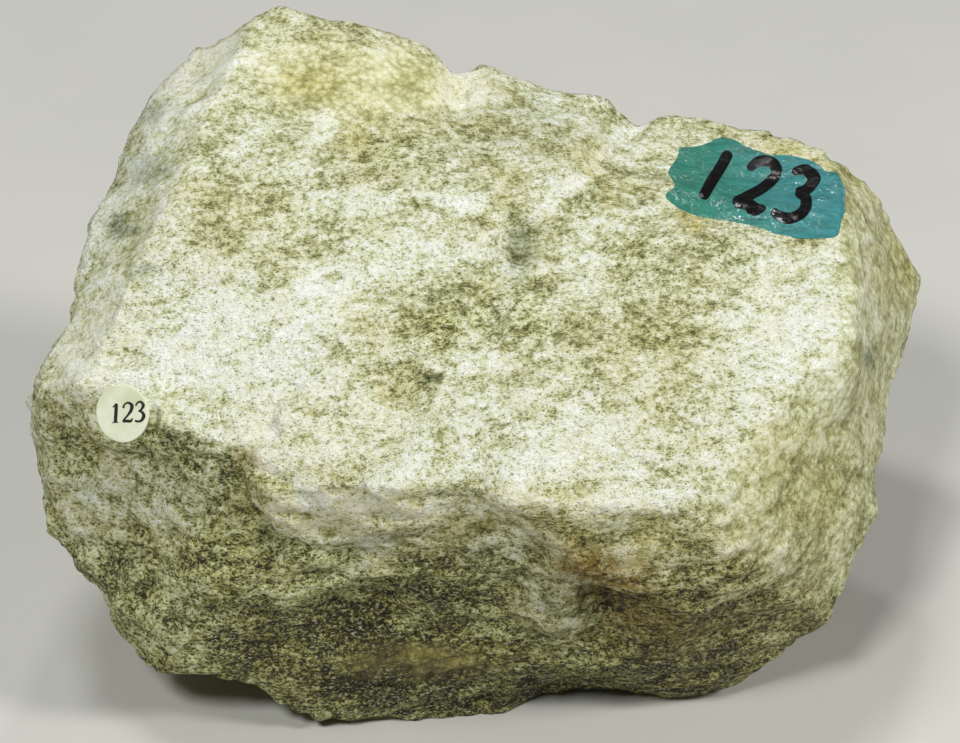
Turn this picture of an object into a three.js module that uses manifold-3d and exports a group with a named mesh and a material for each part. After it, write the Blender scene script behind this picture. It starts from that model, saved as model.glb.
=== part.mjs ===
// Soapstone hand specimen with a round paper label, in millimetres, +Z up.
// The stone is one broken block: fracture faces cut it, and swells, ledges, lumps and small
// chips lie on them. It rests on a small flat spot at Z = 0, and +X is its longest side.
import * as THREE from 'three';
import { mergeVertices } from 'three/addons/utils/BufferGeometryUtils.js';
import Module from 'manifold-3d';

const wasm = await Module();
wasm.setup();

const DEGREE = Math.PI / 180;

// The view in which the stone's places are given: right and up in mm from its middle at the
// middle's distance, and towards, in mm nearer the eye.
const EYE = { elevation: 35, distance: 480 };
const VIEW_RIGHT = [1, 0, 0];
const VIEW_UP = [0, Math.sin(EYE.elevation * DEGREE), Math.cos(EYE.elevation * DEGREE)];
const VIEW_TOWARDS = [0, -Math.cos(EYE.elevation * DEGREE), Math.sin(EYE.elevation * DEGREE)];

const RESTING_LEVEL = -43;              // the flat spot, below the stone's middle
const MIDDLE_STANDS_AT = [-0.85, -5.3, -RESTING_LEVEL];
const STRETCH = [1.35, 1, 1];           // spreads the triangles evenly over the long block
const STONE_DETAIL = 20;                // divisions of each icosahedron edge
const EDGE_ROUND = 0.65;                // how far the edges between fracture faces are worn
const EDGE_WEAR = 1.8;                  // how much that wear varies round the stone
const CUTTER_SIZE = 300;                // box that cuts the flat spot

const LABEL_DIAMETER = 8;
const LABEL_THICKNESS = 0.5;
const LABEL_GAP = 0.3;                  // between the label and its seat
const LABEL_SIDES = 40;
const SEAT_RADIUS = 4.5;                // flat patch of the stone under the label
const SEAT_CUT = 12;                    // length of the cutter that makes it

const STONE_FINISH = { color: 0xc3c59f, roughness: 0.8, metalness: 0 };
const LABEL_FINISH = { color: 0xe6e9d4, roughness: 0.6, metalness: 0 };

const add = (a, b) => [a[0] + b[0], a[1] + b[1], a[2] + b[2]];
const subtract = (a, b) => [a[0] - b[0], a[1] - b[1], a[2] - b[2]];
const scale = (a, k) => [a[0] * k, a[1] * k, a[2] * k];
const dot = (a, b) => a[0] * b[0] + a[1] * b[1] + a[2] * b[2];
const cross = (a, b) => [
  a[1] * b[2] - a[2] * b[1],
  a[2] * b[0] - a[0] * b[2],
  a[0] * b[1] - a[1] * b[0],
];
const unit = (a) => scale(a, 1 / Math.hypot(...a));

// A place that shows right and up from the middle and lies towards mm nearer the eye.
function seen(right, up, towards) {
  const k = (EYE.distance - towards) / EYE.distance;
  const across = add(scale(VIEW_RIGHT, right * k), scale(VIEW_UP, up * k));
  return add(across, scale(VIEW_TOWARDS, towards));
}

// The way that a face looks: azimuth 0 is right, 90 away and -90 to the eye.
function facing(azimuth, elevation, length = 1) {
  const level = Math.cos(elevation * DEGREE) * length;
  const rise = Math.sin(elevation * DEGREE) * length;
  return [Math.cos(azimuth * DEGREE) * level, Math.sin(azimuth * DEGREE) * level, rise];
}

// Fracture faces: azimuth and elevation, a place on the face, and how rough it broke.
const FRACTURES = [
  ['bright left', -101, 62, seen(-26, -4, 29.5), 0.55],
  ['bright right', -80, 64, seen(24.5, -4, 27), 0.5],
  ['bright far right', -66, 66, seen(46.5, 6, 20), 0.45],
  ['top lobe', -78, 70, seen(-11.5, 38, 0.5), 0.45],
  ['top left chip', -165, 52, seen(-42, 41.5, -2), 0.3],
  ['paint facet', -40, 78, seen(40.5, 26.5, 4.5), 0.25],
  ['lower left', -118, 2, seen(-48, -10, 27), 0.8],
  ['lower middle', -94, -9, seen(-11.5, -18.5, 34), 0.9],
  ['lower right', -78, 22, seen(29, -19, 35), 0.6],
  ['under front right', -66, -26, seen(29, -30, 33), 0.9],
  ['under front left', -132, -30, seen(-42, -39, 10), 0.9],
  ['front bevel', -104, 26, seen(-27, -13, 34.2), 0.75],
  ['right', -12, 12, seen(53.5, 6, 13), 0.16],
  ['right low', -38, -4, seen(53.5, -18.5, 8), 0.3],
  ['right corner', -46, 26, seen(45, -12, 24), 0.4],
  ['right tip', -12, -32, seen(57, -15.5, -2), 0.7],
  ['left end', -168, -4, seen(-64.5, -7, 6), 0.8],
  ['left up', 172, 16, seen(-55, 25, -6), 0.7],
  ['back', 86, 16, seen(0, 40, -26), 0.8],
  ['back left', 136, 2, seen(-48, 39.5, -30), 0.9],
  ['back right', 44, 4, seen(53.5, 28, -22), 0.8],
  ['back low', 98, -30, facing(98, -30, 42.5), 0.9],
  ['under left', 196, -64, [-25, 0, RESTING_LEVEL], 0.7],
  ['under right', 14, -60, [22, 0, RESTING_LEVEL], 0.8],
  ['under back', 84, -62, [0, 15, RESTING_LEVEL], 0.7],
  ['under back left', 160, -42, facing(160, -42, 49), 0.9],
  ['under back right', 28, -44, facing(28, -44, 50), 0.9],
].map(([name, azimuth, elevation, place, rough]) => {
  const normal = facing(azimuth, elevation);
  return { name, normal, distance: dot(normal, place), rough };
});

// Long steps: from and to, height (positive lifts the side left of the way), width and reach.
const LEDGES = [
  ["middle slab's rim", seen(22.5, 34, -8), seen(5, 22, 11), -1.7, 1.1, 12],
  ["left slab's rim", seen(6, 22, 11), seen(-9, 25.5, 9), -1.3, 1.0, 9],
  ["left slab's end", seen(1.5, 17, 15), seen(-6.5, -2, 27), -0.9, 1.0, 12],
  ['drop under the paint', seen(52, 19, 4), seen(26, 21, 8), 2.2, 1.8, 11],
  ['overhang', seen(2, -18.5, 35), seen(22, -38, 16), 3.6, 2.2, 15],
  ['front notch', seen(-31.5, -9, 31), seen(-30, -21.5, 28), 2.2, 1.0, 11],
  ['foot', seen(-29, -40.5, 10), seen(3, -39.5, 13), -2.2, 1.5, 9],
  ['back ledge', facing(70, 30, 45), facing(120, 2, 46), 4.0, 1.2, 15],
  ['back chip', facing(40, -20, 47), facing(75, -2, 45), -3.4, 1.1, 13],
  ["back slab's rim", facing(136, 16, 50), facing(98, -24, 45), -3.0, 1.1, 12],
  ['underside step', facing(180, -38, 46), facing(140, -20, 50), 1.8, 1.2, 12],
].map(([name, from, to, height, width, reach]) => {
  const middle = scale(add(from, to), 0.5);
  const span = subtract(to, from);
  const way = unit(span);
  const out = unit(middle);
  const side = cross(out, way);
  return { name, middle, out, way, side, half: Math.hypot(...span) / 2, height, width, reach };
});

// Lumps and hollows: a place, height, half widths along and across, and turn in degrees.
const LUMPS = [
  ['lit ridge', seen(12, -36, 18), 2.2, [4.5, 7.0], -40],
  ['brown valley', seen(20, -33, 21), -2.4, [8.0, 3.6], -42],
  ['under the corner', seen(35, -41, 6), 1.5, [8.0, 4.0], 10],
  ['beside the foot', seen(-38, -46, 0), -3.0, [6.5, 4.0], 0],
  ['below the label', seen(-47, -17, 21), -1.0, [7.0, 4.5], 10],
  ['above the foot', seen(-17, -36, 16), -1.6, [9.0, 3.4], 8],
  ['lower left knob', seen(-36, -31, 21), 1.3, [9.0, 6.0], -25],
  ['notch', seen(-3.5, 40.5, -7), -1.4, [2.6, 3.5], -30],
  ['waxy hollow', seen(-9.5, 41.5, -4), -1.1, [5.0, 3.4], -12],
  ['wedge', seen(5.5, 30, 4), -1.2, [8.0, 6.0], 0],
  ['grey knob', seen(6, 17, 13), -0.8, [2.0, 2.6], 0],
  ['dark dent', seen(-4, 12, 18), -0.8, [4.0, 1.8], 15],
  ['second dent', seen(-9, 6, 22), -0.8, [4.5, 1.6], 20],
  ["slab's corner", seen(51, 13.5, 12), 1.0, [3.5, 3.0], 0],
  ["slab's swell", seen(45, 4, 20), 0.7, [8.0, 7.0], 0],
  ["top lobe's swell", seen(-24, 42, -3), 0.9, [12.0, 6.0], -10],
  ['back hollow', facing(105, 14, 44), -3.2, [11.0, 7.0], 20],
  ['back swell', facing(60, -5, 47), 1.8, [12.0, 8.0], -15],
  ["left end's hollow", facing(175, 5, 60), -1.8, [7.0, 6.0], 0],
].map(([name, place, height, halves, turn]) => {
  const out = unit(place);
  const slanted = add(
    scale(VIEW_RIGHT, Math.cos(turn * DEGREE)),
    scale(VIEW_UP, Math.sin(turn * DEGREE)),
  );
  const along = unit(subtract(slanted, scale(out, dot(slanted, out))));
  return { name, place, out, along, across: cross(out, along), height, halves };
});
const FORM_DEPTH = 25;                  // ledges and lumps fade this far inwards

// The outline that the eye sees, right and up of the middle, clockwise from the top.
const OUTLINE = [
  [-28, 52.5], [-20.5, 50.5], [-11, 48.5], [-7, 46.5], [-3.5, 42.5], [0.5, 44.5], [5.5, 42],
  [10, 40.5], [17.5, 39.5], [22.5, 34.5], [26, 36.5], [33, 36], [40.5, 34.5], [47.5, 32.5],
  [53.5, 29], [57, 26], [59.5, 21], [64, 13], [62, 4.5], [59, -2.5], [58.5, -10], [57, -14.5],
  [57.5, -20.5], [54.5, -26.5], [50, -36.5], [45.5, -39], [41, -43], [37.5, -45], [34.5, -46.5],
  [27, -47], [17.5, -46], [9.5, -46.5], [7, -47.5], [4, -50.3], [-10, -50], [-23, -50.2],
  [-28, -48.5], [-31, -45.5], [-39.5, -44], [-46.5, -43.5], [-52.5, -37.5], [-55, -31.5],
  [-58.5, -28.5], [-59.5, -26], [-62.5, -22.5], [-63, -17.5], [-65, -8.5], [-65, -2.5],
  [-63, 2], [-59.5, 7], [-58.5, 13], [-56.5, 21.5], [-53, 27.5], [-50.5, 35], [-46, 42],
  [-40.5, 46.5], [-38, 47.2], [-33, 50.5],
];
const OUTLINE_TURNS = 360;              // steps round the line of sight
const OUTLINE_TILTS = 56;               // steps from near the eye to behind the rim
const OUTLINE_TILT_RANGE = [35, 145];   // degrees from the line of sight
const RIM_BLUR = 5;                     // steps that the rim's tilt is evened out over
const SLOW_BLUR = 10;                   // steps that part the outline's slow and quick turns
const SLOW_FADE = 20;                   // degrees from the rim that slow turns reach
const QUICK_FADE = 6;                   // degrees from the rim that quick turns reach

// Relief: sizes and heights in mm, each with the seed of its random numbers. Chips have a size
// along, across and through the leaves of the rock.
const EDGE_WEAR_NOISE = { perTurn: 2.6, seed: 5 };
const BROAD_SWELLS = [{ size: 30, height: 1.3, seed: 11 }, { size: 13, height: 0.7, seed: 12 }];
const COARSE_CHIPS = { size: [13, 7.5, 6.5], height: 1.25, seed: 20 };
const SMALL_CHIPS = { size: [6.4, 3.5, 2.9], height: 0.78, seed: 40 };
const LEDGE_WANDER = [{ size: 5, height: 1.6, seed: 77 }, { size: 2.2, height: 0.7, seed: 78 }];
const LEDGE_END = 5;                    // a ledge fades out this far past its ends
const LUMP_STRAY_ALONG = [{ size: 4, height: 1.5, seed: 81 }];
const LUMP_STRAY_ACROSS = [{ size: 4, height: 1.5, seed: 82 }];

// The label's seat, on the worn edge at the left of the bright face.
const SEAT = { place: seen(-51.5, -6, 24.8), azimuth: -113, elevation: 28 };

// Whole-number places to even random numbers from -1 to 1.
function gridHash(x, y, z, seed) {
  let h = Math.imul(x, 73856093);
  h ^= Math.imul(y, 19349663);
  h ^= Math.imul(z, 83492791);
  h ^= Math.imul(seed, 2654435761);
  h ^= h >>> 16;
  h = Math.imul(h, 2246822507);
  h ^= h >>> 13;
  h = Math.imul(h, 3266489909);
  h ^= h >>> 16;
  return ((h >>> 0) / 4294967295) * 2 - 1;
}

// Smooth noise: random heights on a grid of unit cells, blended by 6t^5 - 15t^4 + 10t^3.
function swell(p, seed) {
  const cell = p.map(Math.floor);
  const blend = p.map((value, k) => {
    const t = value - cell[k];
    return t * t * t * (t * (t * 6 - 15) + 10);
  });
  let total = 0;
  for (const dx of [0, 1]) {
    for (const dy of [0, 1]) {
      for (const dz of [0, 1]) {
        const weight = (dx ? blend[0] : 1 - blend[0]) * (dy ? blend[1] : 1 - blend[1])
          * (dz ? blend[2] : 1 - blend[2]);
        total += weight * gridHash(cell[0] + dx, cell[1] + dy, cell[2] + dz, seed);
      }
    }
  }
  return total;
}

const swells = (p, kinds) => kinds.reduce(
  (total, kind) => total + kind.height * swell(scale(p, 1 / kind.size), kind.seed),
  0,
);

// Small fracture facets: each cell holds a plane of random tilt, mixed by exp(-sharp distance^2).
const CHIP_SHARP = 9;
const CHIP_WANDER = 0.45;               // how far a chip's centre strays from its cell's
const CHIP_STEP = 0.35;                 // height of a chip beside its slope
const NEIGHBOURS = [-1, 0, 1];

function chips(place, { size, height: rise, seed }) {
  const p = alongGrain(place, size);
  const cell = p.map(Math.floor);
  let total = 0;
  let weights = 0;
  for (const dx of NEIGHBOURS) {
    for (const dy of NEIGHBOURS) {
      for (const dz of NEIGHBOURS) {
        const c = [cell[0] + dx, cell[1] + dy, cell[2] + dz];
        let height = CHIP_STEP * gridHash(...c, seed + 6);
        let squared = 0;
        for (let k = 0; k < 3; k += 1) {
          const off = p[k] - c[k] - 0.5 - CHIP_WANDER * gridHash(...c, seed + k);
          height += off * gridHash(...c, seed + 3 + k);
          squared += off * off;
        }
        const weight = Math.exp(-CHIP_SHARP * squared);
        total += weight * height;
        weights += weight;
      }
    }
  }
  return rise * (total / weights);
}

// The rock's leaves rise 11 degrees to the right across the bright face.
const LEAF_NORMAL = facing(-92, 63);
const LEAF_RISE = 11;
const LEAF_ALONG = (() => {
  const rising = add(
    scale(VIEW_RIGHT, Math.cos(LEAF_RISE * DEGREE)),
    scale(VIEW_UP, Math.sin(LEAF_RISE * DEGREE)),
  );
  return unit(subtract(rising, scale(LEAF_NORMAL, dot(rising, LEAF_NORMAL))));
})();
const LEAF_ACROSS = cross(LEAF_NORMAL, LEAF_ALONG);

// A place measured along, across and through the leaves, in units of the three stretches.
function alongGrain(p, stretch) {
  return [
    dot(p, LEAF_ALONG) / stretch[0],
    dot(p, LEAF_ACROSS) / stretch[1],
    dot(p, LEAF_NORMAL) / stretch[2],
  ];
}

// Radius and roughness where a direction meets the nearest fracture face, worn round at edges.
const ROUGHNESS_BLEND = 220;
const LEAST_REACH = 1e-6;               // stands for a face that a direction never meets

function brokenBlock(d) {
  const reach = FRACTURES.map((face) => Math.max(
    dot(d, face.normal) / face.distance,
    LEAST_REACH,
  ));
  const top = Math.max(...reach);
  const wear = swell(scale(d, EDGE_WEAR_NOISE.perTurn), EDGE_WEAR_NOISE.seed);
  const round = EDGE_ROUND * Math.exp(EDGE_WEAR * wear);
  const sharp = 1 / (top * top * round);
  let near = 0;
  let rough = 0;
  let weights = 0;
  reach.forEach((value, k) => {
    near += Math.exp(sharp * (value - top));
    const weight = Math.exp(ROUGHNESS_BLEND * (value - top));
    rough += weight * FRACTURES[k].rough;
    weights += weight;
  });
  return { radius: 1 / (top + Math.log(near) / sharp), rough: rough / weights };
}

// Each step is half its height times tanh(distance from its line / width), faded away from it.
function ledgeHeight(p) {
  const wander = swells(p, LEDGE_WANDER);
  let total = 0;
  for (const ledge of LEDGES) {
    const from = subtract(p, ledge.middle);
    const s = dot(from, ledge.side) + wander;
    const past = Math.max(Math.abs(dot(from, ledge.way)) - ledge.half, 0);
    const w = Math.min(dot(from, ledge.out), 0) / FORM_DEPTH;
    const fade = Math.exp(-((past / LEDGE_END) ** 2) - (s / ledge.reach) ** 2 - w * w);
    total += (ledge.height / 2) * Math.tanh(s / ledge.width) * fade;
  }
  return total;
}

// Each lump is height / (1 + e^2), where e is the squared distance in half widths.
function lumpHeight(p) {
  const strayAlong = swells(p, LUMP_STRAY_ALONG);
  const strayAcross = swells(p, LUMP_STRAY_ACROSS);
  let total = 0;
  for (const lump of LUMPS) {
    const from = subtract(p, lump.place);
    const u = (dot(from, lump.along) + strayAlong) / lump.halves[0];
    const v = (dot(from, lump.across) + strayAcross) / lump.halves[1];
    const w = Math.min(dot(from, lump.out), 0) / FORM_DEPTH;
    const e = u * u + v * v + w * w;
    total += lump.height / (1 + e * e);
  }
  return total;
}

// Broken block with its swells, coarse chips, ledges and lumps.
function broadForm(d) {
  const { radius, rough } = brokenBlock(d);
  const p = scale(d, radius);
  const even = swells(p, BROAD_SWELLS) + ledgeHeight(p) + lumpHeight(p);
  return { radius: radius + even + rough * chips(p, COARSE_CHIPS), rough };
}

// Gaussian average of a closed ring of values over half steps each way.
function ringBlur(values, half) {
  const weights = [];
  for (let k = -half; k <= half; k += 1) weights.push(Math.exp(-((2 * k / half) ** 2)));
  const sum = weights.reduce((a, b) => a + b);
  const count = values.length;
  return values.map((_, i) => weights.reduce(
    (total, weight, k) => total + weight * values[(i + k - half + count) % count],
    0,
  ) / sum);
}

// How far the drawn outline lies from the middle in the direction of one turn.
function outlineRadius(turn) {
  const c = Math.cos(turn);
  const s = Math.sin(turn);
  let farthest = 0;
  OUTLINE.forEach(([x, y], k) => {
    const [nextX, nextY] = OUTLINE[(k + 1) % OUTLINE.length];
    const dx = nextX - x;
    const dy = nextY - y;
    const slant = c * dy - s * dx;
    const radius = (x * dy - y * dx) / slant;
    const share = (x * s - y * c) / slant;
    if (share >= 0 && share <= 1) farthest = Math.max(farthest, radius);
  });
  return farthest;
}

// For each turn round the line of sight: the tilt of the stone's rim, and outline over rim.
function measureRim() {
  const tilts = [];
  const ratios = [];
  const [firstTilt, lastTilt] = OUTLINE_TILT_RANGE;
  for (let i = 0; i < OUTLINE_TURNS; i += 1) {
    const turn = -Math.PI + (i / OUTLINE_TURNS) * 2 * Math.PI;
    let widest = 0;
    let rimTilt = 0;
    for (let j = 0; j < OUTLINE_TILTS; j += 1) {
      const tilt = (firstTilt + (lastTilt - firstTilt) * (j / (OUTLINE_TILTS - 1))) * DEGREE;
      const sideways = add(
        scale(VIEW_RIGHT, Math.cos(turn) * Math.sin(tilt)),
        scale(VIEW_UP, Math.sin(turn) * Math.sin(tilt)),
      );
      const { radius } = broadForm(add(sideways, scale(VIEW_TOWARDS, Math.cos(tilt))));
      const shown = (radius * Math.sin(tilt) * EYE.distance)
        / (EYE.distance - radius * Math.cos(tilt));
      if (shown > widest) {
        widest = shown;
        rimTilt = tilt;
      }
    }
    tilts.push(rimTilt);
    ratios.push(outlineRadius(turn) / widest);
  }
  const slow = ringBlur(ratios, SLOW_BLUR);
  const quick = ringBlur(ratios, 1).map((value, i) => value - slow[i]);
  return { tilt: ringBlur(tilts, RIM_BLUR), slow, quick };
}

const RIM = measureRim();

// A ring's value at any turn, in a straight line between its steps.
function onRing(values, turn) {
  const place = ((turn + Math.PI) / (2 * Math.PI)) * OUTLINE_TURNS;
  const first = Math.floor(place) % OUTLINE_TURNS;
  const next = (first + 1) % OUTLINE_TURNS;
  const share = place - Math.floor(place);
  return values[first] * (1 - share) + values[next] * share;
}

// The whole surface: broad form, pulled to the outline near its rim, then small chips.
function stoneRadius(d) {
  const { radius, rough } = broadForm(d);
  const turn = Math.atan2(dot(d, VIEW_UP), dot(d, VIEW_RIGHT));
  const tilt = Math.acos(dot(d, VIEW_TOWARDS));
  const off = (tilt - onRing(RIM.tilt, turn)) / DEGREE;
  const slow = (onRing(RIM.slow, turn) - 1) * Math.exp(-((off / SLOW_FADE) ** 2));
  const quick = onRing(RIM.quick, turn) * Math.exp(-((off / QUICK_FADE) ** 2));
  const fitted = radius * (1 + slow + quick);
  return fitted + rough * chips(scale(d, fitted), SMALL_CHIPS);
}

// Positions alone, with shared vertices merged, as a closed mesh for cutting.
const SAME_PLACE = 1e-4;

function closed(geometry) {
  const bare = geometry.clone();
  bare.deleteAttribute('normal');
  bare.deleteAttribute('uv');
  return mergeVertices(bare, SAME_PLACE);
}

function toSolid(geometry) {
  const mesh = closed(geometry);
  return new wasm.Manifold(new wasm.Mesh({
    numProp: 3,
    vertProperties: new Float32Array(mesh.getAttribute('position').array),
    triVerts: new Uint32Array(mesh.getIndex().array),
  }));
}

function toGeometry(solid) {
  const mesh = solid.getMesh();
  const geometry = new THREE.BufferGeometry();
  geometry.setAttribute('position', new THREE.Float32BufferAttribute(mesh.vertProperties, 3));
  geometry.setIndex(new THREE.Uint32BufferAttribute(mesh.triVerts, 1));
  geometry.computeVertexNormals();
  return geometry;
}

// A cylinder that stands on the seat, along the way that the label faces.
function onSeat(radius, length, lift) {
  const geometry = new THREE.CylinderGeometry(radius, radius, length, LABEL_SIDES);
  const outwards = new THREE.Vector3(...facing(SEAT.azimuth, SEAT.elevation));
  const turned = new THREE.Quaternion().setFromUnitVectors(new THREE.Vector3(0, 1, 0), outwards);
  geometry.applyQuaternion(turned);
  const middle = outwards.multiplyScalar(lift + length / 2);
  geometry.translate(...add(SEAT.place, middle.toArray()));
  return geometry;
}

// The block's surface over a sphere of directions, with the flat spot and the seat cut into it.
function stoneGeometry() {
  const geometry = closed(new THREE.IcosahedronGeometry(1, STONE_DETAIL));
  const position = geometry.getAttribute('position');
  for (let i = 0; i < position.count; i += 1) {
    const ball = [position.getX(i), position.getY(i), position.getZ(i)];
    const d = unit(ball.map((value, k) => value * STRETCH[k]));
    position.setXYZ(i, ...scale(d, stoneRadius(d)));
  }
  const below = new THREE.BoxGeometry(CUTTER_SIZE, CUTTER_SIZE, CUTTER_SIZE);
  below.translate(0, 0, RESTING_LEVEL - CUTTER_SIZE / 2);
  const standing = toSolid(geometry).subtract(toSolid(below));
  return toGeometry(standing.subtract(toSolid(onSeat(SEAT_RADIUS, SEAT_CUT, 0))));
}

function makeStone() {
  const mesh = new THREE.Mesh(stoneGeometry(), new THREE.MeshStandardMaterial(STONE_FINISH));
  mesh.name = 'stone';
  return mesh;
}

function makeLabel() {
  const disc = onSeat(LABEL_DIAMETER / 2, LABEL_THICKNESS, LABEL_GAP);
  const mesh = new THREE.Mesh(disc, new THREE.MeshStandardMaterial(LABEL_FINISH));
  mesh.name = 'round_label';
  return mesh;
}

const specimen = new THREE.Group();
specimen.add(makeStone(), makeLabel());
specimen.position.set(...MIDDLE_STANDS_AT);

export default specimen;
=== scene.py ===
import bpy
import numpy as np
from mathutils import Matrix, Vector


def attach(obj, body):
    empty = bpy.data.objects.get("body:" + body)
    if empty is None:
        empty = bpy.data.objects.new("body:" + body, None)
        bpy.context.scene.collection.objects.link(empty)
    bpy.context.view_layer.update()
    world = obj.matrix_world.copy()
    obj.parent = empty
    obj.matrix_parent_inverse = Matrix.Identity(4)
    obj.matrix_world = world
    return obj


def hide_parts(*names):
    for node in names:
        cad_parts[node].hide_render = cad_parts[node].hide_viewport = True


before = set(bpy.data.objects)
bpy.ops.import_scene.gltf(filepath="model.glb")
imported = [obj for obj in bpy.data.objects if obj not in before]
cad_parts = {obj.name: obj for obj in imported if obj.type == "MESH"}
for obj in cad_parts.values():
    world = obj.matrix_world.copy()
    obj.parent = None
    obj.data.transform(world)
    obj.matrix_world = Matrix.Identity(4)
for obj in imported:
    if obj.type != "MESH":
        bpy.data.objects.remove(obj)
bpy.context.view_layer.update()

print("frame loaded, nodes:", sorted(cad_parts))

# the view that every place on the stone is read in: mm right, up and towards the eye from its middle
view = {
    "elevation": 35.0,   # degrees above level, looking along +Y
    "distance": 480.0,   # mm from the middle of the stone to the eye
    "pixelsPerMm": 6.9,   # at the middle of the stone
    "picture": (960, 743),   # pixels
    "sensor": 36.0,   # mm
}
slope = np.radians(view["elevation"])
viewRight = np.array([1.0, 0.0, 0.0])
viewUp = np.array([0.0, np.sin(slope), np.cos(slope)])
viewTowards = np.array([0.0, -np.cos(slope), np.sin(slope)])

stone = {
    "middle": (-0.85, -5.3, 43.0),   # mm, where the stone's middle stands above the floor
    "edgeRound": 0.65,   # mm, how far edges between fracture faces are worn round
    "edgeWear": 1.8,   # how much that wear varies round the stone
    "wearSwells": (2.6, 5),   # swells of wear in one radius, and their seed
    "roughBlend": 220,   # how sharply one face's roughness gives way to the next face's
    "looksBlend": 2500,   # and its frost, which holds painted light, and wax
    "fineness": 128,   # squares along each edge of the unfolded cube
    "crowding": 0.22,   # how far the squares crowd towards the eye's side
    "stretch": (1.35, 1.0, 1.0),   # spreads the squares evenly over the long block
    "leafRise": 11.0,   # degrees, the leaves of the rock rise to the right
    "leafNormal": (-92, 63),   # the way the leaves face
    "slowFade": 20.0,   # degrees from the rim that the outline's slow turns reach
    "quickFade": 6.0,   # degrees from the rim that its quick turns reach
    "turns": 360, "tilts": 56,   # steps in which the rim is looked for, round and off the line of sight
    "tiltRange": (35, 145),   # degrees off the line of sight
    "slowBlur": 10, "tiltBlur": 5, "quickBlur": 1,   # steps each way
}


def seen(right, up, towards):
    # a place that shows right and up mm from the middle and lies towards mm nearer the eye
    k = (view["distance"] - towards) / view["distance"]
    return viewRight * right * k + viewUp * up * k + viewTowards * towards


def unit(v):
    # each row of numbers made one long
    return v / np.linalg.norm(v, axis=-1, keepdims=True)


def squareTo(v, out):
    # the way of v after its share along out is taken away
    return unit(v - out * (v @ out))


def facing(azimuth, elevation):
    # unit vector: azimuth 0 is right, 90 away, -90 to the eye
    a, e = np.radians(azimuth), np.radians(elevation)
    return np.array([np.cos(a) * np.cos(e), np.sin(a) * np.cos(e), np.sin(e)])


def shownAt(p):
    # where the eye sees a place: mm right and up of the middle
    k = view["distance"] / (view["distance"] - p @ viewTowards)
    return p @ viewRight * k, p @ viewUp * k


# fracture faces: azimuth, elevation, a place on the face, roughness, frost (white bruising, and painted
# light:
# high on the lit faces above, low on the shaded faces below), wax (smooth)
fractures = {
    "bright left": (-101, 62, seen(-26, -4, 29.5), 0.55, 0.80, 0),
    "bright right": (-80, 64, seen(24.5, -4, 27), 0.5, 0.82, 0),
    "bright far right": (-66, 66, seen(46.5, 6, 20), 0.45, 0.95, 0),
    "top lobe": (-78, 70, seen(-11.5, 38, 0.5), 0.45, 0.52, 0.2),
    "top left chip": (-165, 52, seen(-42, 41.5, -2), 0.3, 0.75, 0.4),
    "paint facet": (-40, 78, seen(40.5, 26.5, 4.5), 0.25, 0.6, 0.25),
    "lower left": (-118, 2, seen(-48, -10, 27), 0.8, 0.28, 0),
    "lower middle": (-94, -9, seen(-11.5, -18.5, 34), 0.9, 0.24, 0),
    "lower right": (-78, 22, seen(29, -19, 35), 0.6, 0.36, 0.1),
    "under front right": (-66, -26, seen(29, -30, 33), 0.9, 0.12, 0),
    "under front left": (-132, -30, seen(-42, -39, 10), 0.9, 0.18, 0),
    "front bevel": (-104, 26, seen(-27, -13, 34.2), 0.75, 0.4, 0),
    "right": (-12, 12, seen(53.5, 6, 13), 0.16, 0.32, 0.8),
    "right low": (-38, -4, seen(53.5, -18.5, 8), 0.3, 0.3, 0.6),
    "right corner": (-46, 26, seen(45, -12, 24), 0.4, 0.36, 0.6),
    "right tip": (-12, -32, seen(57, -15.5, -2), 0.7, 0.14, 0.1),
    "left end": (-168, -4, seen(-64.5, -7, 6), 0.8, 0.34, 0),
    "left up": (172, 16, seen(-55, 25, -6), 0.7, 0.55, 0),
    "back": (86, 16, seen(0, 40, -26), 0.8, 0.42, 0.1),
    "back left": (136, 2, seen(-48, 39.5, -30), 0.9, 0.34, 0.2),
    "back right": (44, 4, seen(53.5, 28, -22), 0.8, 0.46, 0),
    "back low": (98, -30, facing(98, -30) * 42.5, 0.9, 0.24, 0.1),
    "under left": (196, -64, np.array([-25, 0, -43]), 0.7, 0.2, 0),
    "under right": (14, -60, np.array([22, 0, -43]), 0.8, 0.18, 0),
    "under back": (84, -62, np.array([0, 15, -43]), 0.7, 0.2, 0),
    "under back left": (160, -42, facing(160, -42) * 49, 0.9, 0.2, 0.1),
    "under back right": (28, -44, facing(28, -44) * 50, 0.9, 0.2, 0),
}
normals = np.array([facing(row[0], row[1]) for row in fractures.values()])
distances = np.array([facing(row[0], row[1]) @ row[2] for row in fractures.values()])
roughness, frostAndLitness, waxiness = np.array([row[3:] for row in fractures.values()]).T

# the outline that the eye sees, mm right and up of the middle, clockwise from the top
outline = np.array([
    (-28, 52.5), (-20.5, 50.5), (-11, 48.5), (-7, 46.5), (-3.5, 42.5), (0.5, 44.5), (5.5, 42), (10, 40.5),
    (17.5, 39.5), (22.5, 34.5), (26, 36.5), (33, 36), (40.5, 34.5), (47.5, 32.5), (53.5, 29), (57, 26),
    (59.5, 21), (64, 13), (62, 4.5), (59, -2.5), (58.5, -10), (57, -14.5), (57.5, -20.5), (54.5, -26.5),
    (50, -36.5), (45.5, -39), (41, -43), (37.5, -45), (34.5, -46.5), (27, -47), (17.5, -46), (9.5, -46.5),
    (7, -47.5), (4, -50.3), (-10, -50), (-23, -50.2), (-28, -48.5), (-31, -45.5), (-39.5, -44),
    (-46.5, -43.5), (-52.5, -37.5), (-55, -31.5), (-58.5, -28.5), (-59.5, -26), (-62.5, -22.5),
    (-63, -17.5), (-65, -8.5), (-65, -2.5), (-63, 2), (-59.5, 7), (-58.5, 13), (-56.5, 21.5),
    (-53, 27.5), (-50.5, 35), (-46, 42), (-40.5, 46.5), (-38, 47.2), (-33, 50.5),
])

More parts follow.
